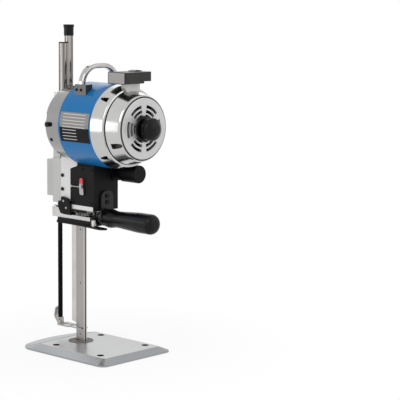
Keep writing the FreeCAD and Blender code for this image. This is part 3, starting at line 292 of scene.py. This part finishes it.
def blank_label():
    """Two-tone plate: bare metal above, black below, with plain ruled lines."""
    low, high = reach("nameplate")
    split_drop = 1.0
    line_gap, line_width, line_strength = 5.5, 1.2, 0.8
    left_margin, right_margin, short_by = 7.0, 9.0, 22.0
    finish = Finish("blank_label")
    along, height = finish.axis("X"), finish.axis("Z") - motor_z * MM
    below = height < -split_drop * MM
    line_end = (high.x - right_margin) * MM - below * (short_by * MM)
    in_line = (height % (line_gap * MM)) < line_width * MM
    line = in_line * (along > (low.x + left_margin) * MM) * (along < line_end)
    sheen = finish.streaks((30.0, 400.0, 400.0), 3.0)
    metal = finish.blend(sheen, (0.20, 0.195, 0.19), (0.30, 0.293, 0.286))
    plate = finish.blend(below, metal, (0.008, 0.008, 0.009))
    tone = finish.blend(line * line_strength, plate, (0.66, 0.66, 0.66))
    return finish.surface(Base_Color=tone, Metallic=0.15, Roughness=0.5, Specular_IOR_Level=0.12)


def satin_plate():
    """Base with a dark seam between its flat top and the front slope, and painted shade on the front slope.

    The seam bows across the middle and runs straight back at both corners.
    """
    top = reach("base_plate")[1].z
    bow_half, bow_front, bow_rise = 69.0, -43.0, 0.84
    corner_start, corner_slope = 95.1, 1.944
    bow_width, corner_width, seam_low = 2.2, 1.4, 3.1
    slope_drop = 0.2
    finish = Finish("satin_nickel")
    along, across, up = finish.axis("X"), abs(finish.axis("Y")), finish.axis("Z")
    bowed = across < bow_half * MM
    straight = 1.0 - bowed
    bow_line = across * across * bow_rise + bow_front * MM
    corner_line = corner_start * MM - across * corner_slope
    seam_line = bowed * bow_line + straight * corner_line
    width = bow_width * MM - straight * ((bow_width - corner_width) * MM)
    seam = (abs(along - seam_line) < width) * (up > seam_low * MM)
    lines = finish.grinding("x")
    cloud = finish.noise(GROUND_CLOUD, 4.0)
    flat = finish.blend(cloud, (0.42, 0.422, 0.425), (0.47, 0.472, 0.475))
    # The front slope is painted darker and bluer than the flat top, as painted shade.
    slope_painted_shade = finish.blend(cloud, (0.30, 0.312, 0.325), (0.35, 0.36, 0.37))
    metal = finish.blend(up < (top - slope_drop) * MM, flat, slope_painted_shade)
    return finish.surface(Base_Color=finish.blend(seam, metal, (0.03, 0.03, 0.03)), Metallic=1.0 - seam,
                          Roughness=0.3 + sway(lines, 0.12) + sway(cloud, 0.08),
                          Normal=finish.relief(lines, strength=0.08, depth=0.2))


def banded_bell():
    """Polished bell, darker in bands at its step and round its face, with painted shade in its screw pockets.
    """
    step_place, step_radius = (126.6, 129.3), 66.2
    face_x, rim_place = 156.5, (53.6, 56.2)
    pocket_radius = 5.244
    corner_out, corner_rear = 48.8, 120.5
    ring_turn, ring_out, ring_front = math.radians(27.26), 62.2, 135.5
    finish = Finish("polished_bell")
    along, across, up = finish.axis("X"), finish.axis("Y"), finish.axis("Z") - motor_z * MM
    out = across.maths("SQRT", across * across + up * up)

    def pocket(off_one_way, off_other_way):
        return off_one_way * off_one_way + off_other_way * off_other_way < (pocket_radius * MM) ** 2

    step = band(along, *step_place) * (out < step_radius * MM)
    rim = (along > face_x * MM) * band(out, *rim_place)
    corners = pocket(abs(across) - corner_out * MM, abs(up) - corner_out * MM) * (along < corner_rear * MM)
    ring_side = across * math.cos(ring_turn) + up * math.sin(ring_turn)
    ring_other = across * math.sin(ring_turn) - up * math.cos(ring_turn)
    ring = pocket(abs(ring_side) - ring_out * MM, ring_other) * (along > ring_front * MM)
    # Dark bands at the step and round the face, and painted shade inside the screw pockets.
    dark_bands_and_pocket_shade = step + rim + corners + ring > 0.5
    haze = finish.noise(POLISH_HAZE, 5.0)
    turned = finish.streaks((700.0, 14.0, 14.0), 3.0)
    metal = finish.blend(haze, (0.50, 0.497, 0.492), (0.58, 0.577, 0.572))
    return finish.surface(Base_Color=finish.blend(dark_bands_and_pocket_shade, metal, (0.03, 0.028, 0.026)),
                          Metallic=1.0 - dark_bands_and_pocket_shade * 0.6,
                          Roughness=0.17 + sway(haze, 0.08) + sway(turned, 0.1) + dark_bands_and_pocket_shade * 0.3)


def tube_painted_reflections():
    """Polished tubes with long dark and bright painted reflection streaks, on a bright flange."""
    flange_high = 8.6
    flange_top = reach("guide_tubes")[0].z + flange_high
    finish = Finish("tube_painted_reflections")
    # The long dark and bright streaks down the tubes are painted reflections.
    painted_reflection_streaks = finish.ramp(finish.streaks((210.0, 210.0, 1.5), 2.0), [(0.36, 0.0), (0.64, 1.0)])
    fine = finish.streaks((900.0, 900.0, 12.0), 3.0)
    tube = finish.blend(painted_reflection_streaks, (0.125, 0.108, 0.097), (0.53, 0.505, 0.485))
    tone = finish.blend(finish.axis("Z") < flange_top * MM, tube, (0.72, 0.715, 0.71))
    return finish.surface(Base_Color=tone, Metallic=1.0, Roughness=0.14 + sway(fine, 0.14))


def edged_plate():
    """Brushed end plate, darker in a band along its edges."""
    low, high = reach("terminal_end_plate")
    middle, half = (low + high) / 2, (high - low) / 2
    side_edge, top_edge = 1.4, 1.3
    finish = Finish("edged_plate")
    off_x = abs(finish.axis("X") - middle.x * MM) > (half.x - side_edge) * MM
    off_z = abs(finish.axis("Z") - middle.z * MM) > (half.z - top_edge) * MM
    edge = off_x + off_z > 0.5
    brush = finish.grinding("x")
    metal = finish.blend(brush, (0.24, 0.233, 0.23), (0.31, 0.303, 0.30))
    return finish.surface(Base_Color=finish.blend(edge, metal, (0.03, 0.029, 0.028)),
                          Metallic=0.6 - edge * 0.4, Specular_IOR_Level=0.2,
                          Roughness=0.34 + sway(brush, 0.14),
                          Normal=finish.relief(brush, strength=0.1, depth=0.2))


def standard_steel():
    """Ground bar with a painted highlight on its rear face and painted shade down its groove."""
    rear = reach("standard")[1].x
    groove_deep, groove_half, face_deep = 2.3, 1.45, 0.1
    finish = Finish("ground_standard")
    along = finish.axis("X")
    groove_painted_shade = (along > (rear - groove_deep) * MM) * (abs(finish.axis("Y")) < groove_half * MM)
    lines = finish.grinding("z")
    cloud = finish.noise(GROUND_CLOUD, 4.0)
    flank = finish.blend(cloud, (0.34, 0.325, 0.315), (0.39, 0.375, 0.365))
    # The rear face is painted bright as a painted highlight, and the groove dark as painted shade.
    metal = finish.blend(along > (rear - face_deep) * MM, flank, (0.62, 0.60, 0.585))
    return finish.surface(Base_Color=finish.blend(groove_painted_shade, metal, (0.10, 0.095, 0.09)),
                          Metallic=1.0 - groove_painted_shade * 0.5,
                          Roughness=0.36 + sway(lines, 0.16) + sway(cloud, 0.1),
                          Normal=finish.relief(lines, strength=0.12, depth=0.2))


def head_casting():
    """Pale painted column below, bright machined crank case above."""
    case_low = 352.0
    finish = Finish("head_casting")
    case = finish.axis("Z") > case_low * MM
    grain = finish.noise(CAST_GRAIN, 2.0)
    cloud = finish.noise(CAST_CLOUD, 4.0)
    pale = finish.blend(cloud, (0.60, 0.595, 0.59), (0.68, 0.675, 0.67))
    bright = finish.blend(cloud, (0.25, 0.248, 0.245), (0.36, 0.357, 0.353))
    return finish.surface(Base_Color=finish.blend(case, pale, bright), Metallic=0.1 + case * 0.9,
                          Roughness=0.42 - case * 0.26 + sway(cloud, 0.12),
                          Normal=finish.relief(grain, strength=0.1, depth=0.3))


# Finishes by material slot, and by piece where a piece has its own

finishes = {
    "nickel_base": satin_plate(),
    "steel": ground_metal("ground_steel", (0.42, 0.405, 0.395), "z", rough=0.34),
    "dark_steel": moulded_plastic("blackened_steel", (0.006, 0.006, 0.007), rough=0.36, grain=1200.0,
                                  bump=0.1, shine=0.15),
    "castings": cast_metal("grey_casting", (0.47, 0.465, 0.46), rough=0.42, metal=0.3),
    "black_coat": coat_of_paint("black_powder_coat", (0.0045, 0.0045, 0.005), rough=0.42, peel=1400.0,
                                shine=0.12),
    "blue_paint": coat_of_paint("gloss_blue", (0.002, 0.142, 0.38), rough=0.24, peel=500.0, coat=0.06,
                                shine=0.22),
    "core_iron": iron_laminations(),
    "copper": wound_copper(),
    "bronze": polished_metal("turned_brass", (0.68, 0.44, 0.18), rough=0.3),
    "black_plastic": moulded_plastic("gloss_black", (0.002, 0.002, 0.0024), rough=0.3, grain=1200.0,
                                     bump=0.004, shine=0.2),
    "charcoal_plastic": moulded_plastic("charcoal_plastic", (0.008, 0.008, 0.0085), rough=0.4, grain=1600.0,
                                        bump=0.2, shine=0.2),
    "red_paint": coat_of_paint("red_enamel", (0.62, 0.02, 0.02), rough=0.35, peel=700.0, coat=0.5),
    "abrasive": abrasive_cloth(),
    "label": blank_label(),
}
oiled_steel = ground_metal("oiled_steel", (0.22, 0.215, 0.21), "z", rough=0.28)
own_finish = {
    "rear_grille": cast_metal("satin_face", (0.60, 0.60, 0.60), rough=0.4, metal=0.6),
    "rear_end_bell": banded_bell(),
    "head_frame": head_casting(),
    "crank_cover": polished_metal("bright_cover", (0.44, 0.435, 0.43), rough=0.16),
    "front_cover": cast_metal("grey_cover", (0.44, 0.435, 0.435), rough=0.45, metal=0.1),
    "guide_tubes": tube_painted_reflections(),
    "carry_handle": polished_metal("bent_bar", (0.47, 0.465, 0.46), rough=0.14),
    "handle_clamps": ground_metal("gunmetal", (0.15, 0.145, 0.14), "x", rough=0.38),
    "terminal_box": moulded_plastic("terminal_charcoal", (0.026, 0.025, 0.024), rough=0.34, grain=1600.0,
                                    bump=0.12, shine=0.25),
    "terminal_end_plate": edged_plate(),
    "terminal_pedestal": cast_metal("pale_casting", (0.72, 0.715, 0.71), rough=0.42, metal=0.0),
    "grip_stud": ground_metal("black_nut", (0.06, 0.058, 0.056), "x", rough=0.26),
    "grip_bracket": coat_of_paint("bracket_black", (0.006, 0.006, 0.0065), rough=0.3, peel=900.0, shine=0.32),
    "sharpener_block": ground_metal("milled_block", (0.60, 0.59, 0.58), "x", rough=0.3),
    "belt_gear_left": oiled_steel,
    "belt_gear_right": oiled_steel,
    "standard": standard_steel(),
    "standard_foot": coat_of_paint("worn_foot", (0.17, 0.155, 0.145), rough=0.5, peel=600.0, shine=0.1),
    "knife_blade": ground_metal("honed_blade", (0.58, 0.555, 0.54), "z", rough=0.34),
    "presser_bar": coat_of_paint("black_bar", (0.0018, 0.0018, 0.002), rough=0.55, peel=900.0, shine=0.05),
    # Dark base screw heads, painted flat black as painted shade of the recessed holes they sit in.
    "base_fixings": coat_of_paint("base_screw_painted_shade", (0.003, 0.003, 0.003), rough=0.85, peel=800.0, shine=0.02),
}
for entry in frame["record"]["subparts"]:
    name, slot = entry["node"], entry["material_slot"]
    coats = frame["nodes"][name].data.materials
    coats.clear()
    coats.append(own_finish[name] if name in own_finish else finishes[slot])


# Small fasteners that the solids leave plain, in millimetres

LEFT, RIGHT, FORWARD, UP = (0, -1, 0), (0, 1, 0), (-1, 0, 0), (0, 0, 1)
HEAD_SIDES = 32
HEAD_ROUNDING = 0.4
SOCKET_WALL = 0.28
SOCKET_DEPTH = 0.55
LOOKS_UP, LIES_FLAT = 0.9, 0.99
SMOOTH_BELOW = math.radians(35)
HEAD_SINK = 0.05


def deselect():
    bpy.ops.object.select_all(action="DESELECT")


def edit_top(steepness):
    """Edit mode with only the faces that look up selected."""
    bpy.ops.object.mode_set(mode="EDIT")
    bpy.ops.mesh.select_mode(type="FACE")
    bpy.ops.mesh.select_all(action="DESELECT")
    bpy.ops.object.mode_set(mode="OBJECT")
    for face in bpy.context.object.data.polygons:
        face.select = face.normal.z > steepness
    bpy.ops.object.mode_set(mode="EDIT")


def model_head(radius, height):
    """Rounded screw head with a sunk socket, standing on the origin."""
    deselect()
    bpy.ops.mesh.primitive_cylinder_add(vertices=HEAD_SIDES, radius=radius * MM, depth=height * MM,
                                        location=(0, 0, height * MM / 2))
    bpy.ops.object.transform_apply(location=True)
    edit_top(LOOKS_UP)
    bpy.ops.mesh.bevel(offset=min(height, radius) * HEAD_ROUNDING * MM, segments=4, affect="EDGES")
    edit_top(LIES_FLAT)
    bpy.ops.mesh.inset(thickness=radius * SOCKET_WALL * MM)
    bpy.ops.mesh.extrude_region_move(TRANSFORM_OT_translate={"value": (0, 0, -height * SOCKET_DEPTH * MM)})
    bpy.ops.object.mode_set(mode="OBJECT")
    return bpy.context.object


def copy_of(model):
    deselect()
    model.select_set(True)
    bpy.context.view_layer.objects.active = model
    bpy.ops.object.duplicate(linked=False)
    return bpy.context.object


def set_heads(heads, radius, height, body, slot="dark_steel"):
    """Model one head, and set a copy of it at each spot, looking its way and riding on a body."""
    model = model_head(radius, height)
    for name, spot, way in heads:
        piece = copy_of(model)
        piece.name = name
        piece.rotation_mode = "QUATERNION"
        piece.rotation_quaternion = Vector(way).to_track_quat("Z", "Y")
        piece.location = Vector(spot) * MM
        bpy.ops.object.transform_apply(location=True, rotation=True, scale=True)
        bpy.ops.object.shade_smooth_by_angle(angle=SMOOTH_BELOW)
        piece.data.materials.clear()
        piece.data.materials.append(finishes[slot])
        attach(piece, body)
    deselect()
    model.select_set(True)
    bpy.ops.object.delete()


def row(name, spots, way):
    """Heads that all look the same way."""
    return [("%s_%d" % (name, i), spot, way) for i, spot in enumerate(spots)]


def both_sides(name, spots, out):
    """The same heads on the left and the right of the machine."""
    heads = []
    for i, (x, z) in enumerate(spots):
        heads.append(("%s_left_%d" % (name, i), (x, -out, z), LEFT))
        heads.append(("%s_right_%d" % (name, i), (x, out, z), RIGHT))
    return heads


def round_motor(name, x, turn, radius):
    """A head on the motor, its turn in degrees from the left side upwards."""
    a = math.radians(turn)
    way = (0, -math.cos(a), math.sin(a))
    return name, (x, way[1] * radius, motor_z + way[2] * radius), way


def label_rivets():
    low, high = reach("nameplate")
    plate_thick, front_gap, rear_gap = 0.8, 2, 3
    heads = [round_motor("label_rivet_%d" % i, x, turn=-1.5, radius=shell_radius + plate_thick)
             for i, x in enumerate((low.x + front_gap, high.x - rear_gap))]
    set_heads(heads, radius=1.9, height=0.7, body="frame")


def case_plug():
    case_radius = 67.2
    plug = round_motor("case_plug", x=-12.5, turn=-24.0, radius=case_radius)
    set_heads([plug], radius=3.4, height=1.2, body="frame")


def catch_screws():
    low = reach("sharpener_catch")[0]
    spots = [(low.x + x, low.y + HEAD_SINK, low.z + z) for x, z in ((14, 25), (21, 13))]
    set_heads(row("catch_screw", spots, LEFT), radius=2.2, height=1.0, body="sharpener", slot="steel")


def standard_pins():
    low = reach("standard")[0]
    pin_x = 1.0
    spots = [(pin_x, low.y + HEAD_SINK, low.z + up) for up in (19, 115, 214)]
    set_heads(row("standard_pin", spots, LEFT), radius=1.2, height=0.4, body="frame")


def side_cover_screws():
    low, high = reach("side_covers")
    front, rear, slope_painted_shade = low.x + 7, high.x - 6, low.x + 31
    bottom, top = low.z + 6, high.z - 6
    spots = [(front, bottom), (rear, bottom), (rear, top), (slope_painted_shade, top)]
    set_heads(both_sides("side_screw", spots, high.y), radius=2.6, height=1.4, body="frame")


def front_cover_screws():
    low, high = reach("front_cover")
    from_side, from_end = 12, 8
    spots = [(low.x, high.y - from_side, z) for z in (low.z + from_end, high.z - from_end)]
    set_heads(row("cover_screw", spots, FORWARD), radius=2.2, height=1.2, body="frame")


def clamp_screws():
    low, high = reach("handle_clamps")
    from_top = 9.5
    spots = [(low.x + from_front, high.z - from_top) for from_front in (4.5, 16)]
    set_heads(both_sides("clamp_screw", spots, high.y), radius=2.6, height=1.2, body="frame")


def block_screws():
    low, high = reach("sharpener_block")
    from_front, from_middle = 25, 22
    spots = [(low.x + from_front, y, high.z) for y in (-from_middle, from_middle)]
    set_heads(row("block_screw", spots, UP), radius=2.6, height=1.3, body="sharpener")


label_rivets()
case_plug()
catch_screws()
standard_pins()
side_cover_screws()
front_cover_screws()
clamp_screws()
block_screws()


# Stage, light and camera, in metres

FLOOR_SIZE = 14.0
FLOOR_DROP = 0.0005
FLOOR_GREY = (0.93, 0.93, 0.93)
SHADOW_NEAR, SHADOW_FAR, SHADOW_SHARE = 0.1, 0.42, 0.2
SKY_LIGHT = 0.7
OBJECT_MIDDLE = (0.0, 0.0, 0.35)
CAMERA_SPOT = (2.0587, -1.9217, 0.6680)
CAMERA_TURN = (1.4315132, -0.0089476, 0.7446703)
CAMERA_LENS = 140.332


def white_ground():
    """Pale ground that keeps the shadow near the object and is white to the camera and in reflections."""
    material = bpy.data.materials.new("pale_floor")
    shader = Shader(material)
    away = shader.node("ShaderNodeVectorMath", {"operation": "LENGTH"}, {0: shader.place()}, "Value")
    white = shader.node("ShaderNodeMapRange", {}, {
        "Value": away, "From Min": SHADOW_NEAR, "From Max": SHADOW_FAR,
        "To Min": 1.0 - SHADOW_SHARE, "To Max": 1.0}, "Result")
    paint = shader.node("ShaderNodeBsdfDiffuse", {}, {"Color": FLOOR_GREY})
    glow = shader.node("ShaderNodeEmission", {}, {})
    ground = shader.node("ShaderNodeMixShader", {}, {0: shader.looked_at() * white, 1: paint, 2: glow})
    shader.node("ShaderNodeOutputMaterial", {}, {"Surface": ground})
    return material


def white_sky():
    """World that is white to the camera and in reflections, and lights the object less."""
    world = bpy.context.scene.world or bpy.data.worlds.new("world")
    bpy.context.scene.world = world
    shader = Shader(world)
    strength = shader.looked_at() * (1.0 - SKY_LIGHT) + SKY_LIGHT
    glow = shader.node("ShaderNodeBackground", {}, {"Color": (1, 1, 1), "Strength": strength})
    shader.node("ShaderNodeOutputWorld", {}, {"Surface": glow})


def soft_lamp(name, spot, aim, size, power):
    lamp = bpy.data.lights.new(name, "AREA")
    lamp.shape = "RECTANGLE"
    lamp.size, lamp.size_y = size
    lamp.energy = power
    holder = bpy.data.objects.new(name, lamp)
    bpy.context.scene.collection.objects.link(holder)
    holder.location = spot
    holder.rotation_euler = (Vector(aim) - Vector(spot)).to_track_quat("-Z", "Y").to_euler()


def photo_camera():
    view = bpy.data.cameras.new("photo_view")
    view.sensor_width = 36.0
    view.lens = CAMERA_LENS
    view.clip_end = 100.0
    camera = bpy.data.objects.new("photo_view", view)
    bpy.context.scene.collection.objects.link(camera)
    camera.location = CAMERA_SPOT
    camera.rotation_euler = CAMERA_TURN
    bpy.context.scene.camera = camera


deselect()
bpy.ops.mesh.primitive_plane_add(size=FLOOR_SIZE, location=(0, 0, -FLOOR_DROP))
floor = bpy.context.object
floor.name = "floor"
floor.data.materials.append(white_ground())

white_sky()
soft_lamp("key_lamp", (0.6, -1.6, 1.7), OBJECT_MIDDLE, size=(1.2, 1.2), power=10.0)
soft_lamp("side_lamp", (-0.62, -1.9, 0.56), (0.1, 0.0, 0.4), size=(0.5, 0.9), power=3.0)
soft_lamp("strip_lamp", (-1.45, -1.35, 0.72), (0.05, 0.0, 0.3), size=(0.7, 0.45), power=2.0)
soft_lamp("fill_lamp", (1.8, 0.9, 1.2), OBJECT_MIDDLE, size=(1.4, 1.4), power=4.0)
soft_lamp("back_lamp", (-1.4, 1.2, 1.6), OBJECT_MIDDLE, size=(1.4, 1.4), power=4.0)
photo_camera()
bpy.context.scene.view_settings.view_transform = "Standard"
